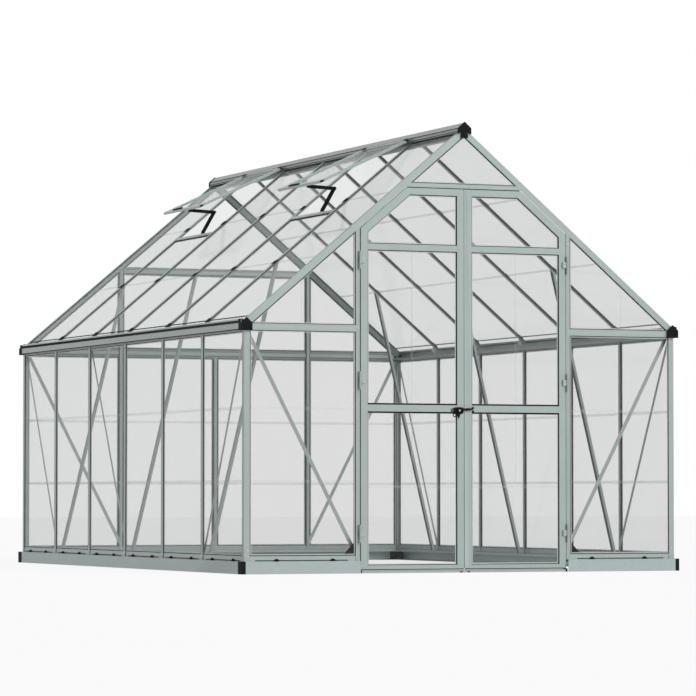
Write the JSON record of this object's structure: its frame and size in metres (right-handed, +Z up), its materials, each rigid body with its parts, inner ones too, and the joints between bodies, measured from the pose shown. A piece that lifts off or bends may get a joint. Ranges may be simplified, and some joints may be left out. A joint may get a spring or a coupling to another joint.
{
  "type": "polycarbonate greenhouse",
  "caption": "Gable-roofed greenhouse of slim aluminium bars and clear panes on a sheet-steel base, with hinged double doors and propped-open roof vents.",
  "frame": {"origin": "on the ground, under the middle of the building", "axes": "+Z up, front gable with the doors faces -Y, roof vents on the -X slope"},
  "size_m": [2.497, 3.7106, 2.3476],
  "materials": {
    "aluminium_frame": "mill-finish extrusion, faint drawn lines",
    "door_aluminium": "mill-finish extrusion, faint drawn lines",
    "galvanised_base": "galvanised sheet, soft spangle",
    "black_fittings": "moulded black plastic",
    "clear_panes": "clear polycarbonate sheet"
  },
  "bodies": {
    "building": {"base_rails_side": "galvanised_base", "base_rail_back": "galvanised_base", "base_rails_front": "galvanised_base", "door_threshold": "aluminium_frame", "wall_sills": "aluminium_frame", "corner_posts": "aluminium_frame", "side_posts_left": "aluminium_frame", "side_posts_right": "aluminium_frame", "back_posts": "aluminium_frame", "door_posts": "aluminium_frame", "door_head": "aluminium_frame", "front_gable_rails": "aluminium_frame", "back_rails": "aluminium_frame", "gutters": "aluminium_frame", "ridge_beam": "aluminium_frame", "rafters_left": "aluminium_frame", "rafters_right": "aluminium_frame", "front_rakes": "aluminium_frame", "back_rakes": "aluminium_frame", "vent_sills": "aluminium_frame", "vent_frames": "aluminium_frame", "roof_struts": "aluminium_frame", "wall_straps": "aluminium_frame", "post_hinges": "aluminium_frame", "base_corner_caps": "black_fittings", "base_corner_brackets": "black_fittings", "gutter_end_caps": "black_fittings", "ridge_end_caps": "black_fittings", "vent_stays": "black_fittings", "post_gussets": "black_fittings", "side_panes_left": "clear_panes", "side_panes_right": "clear_panes", "front_panes": "clear_panes", "back_panes": "clear_panes", "roof_panes_left": "clear_panes", "roof_panes_right": "clear_panes", "vent_panes": "clear_panes"},
    "door_left": {"door_left_frame": "door_aluminium", "door_left_panes": "clear_panes", "door_left_hinges": "door_aluminium", "latch_plate": "black_fittings"},
    "latch": {"latch_lever": "black_fittings"},
    "door_right": {"door_right_frame": "door_aluminium", "door_right_panes": "clear_panes", "door_right_hinges": "door_aluminium", "latch_keeper": "black_fittings"}
  },
  "joints": [
    {"name": "door_left_swing", "type": "hinge", "parent": "building", "child": "door_left", "pos_m": [-0.592, -1.848, 1], "axis": [0, 0, -1], "range_deg": [0, 110]},
    {"name": "door_right_swing", "type": "hinge", "parent": "building", "child": "door_right", "pos_m": [0.592, -1.848, 1], "axis": [0, 0, 1], "range_deg": [0, 110]},
    {"name": "latch_turn", "type": "hinge", "parent": "door_left", "child": "latch", "pos_m": [-0.034, -1.845, 0.841], "axis": [0, -1, 0], "range_deg": [0, 90]}
  ]
}
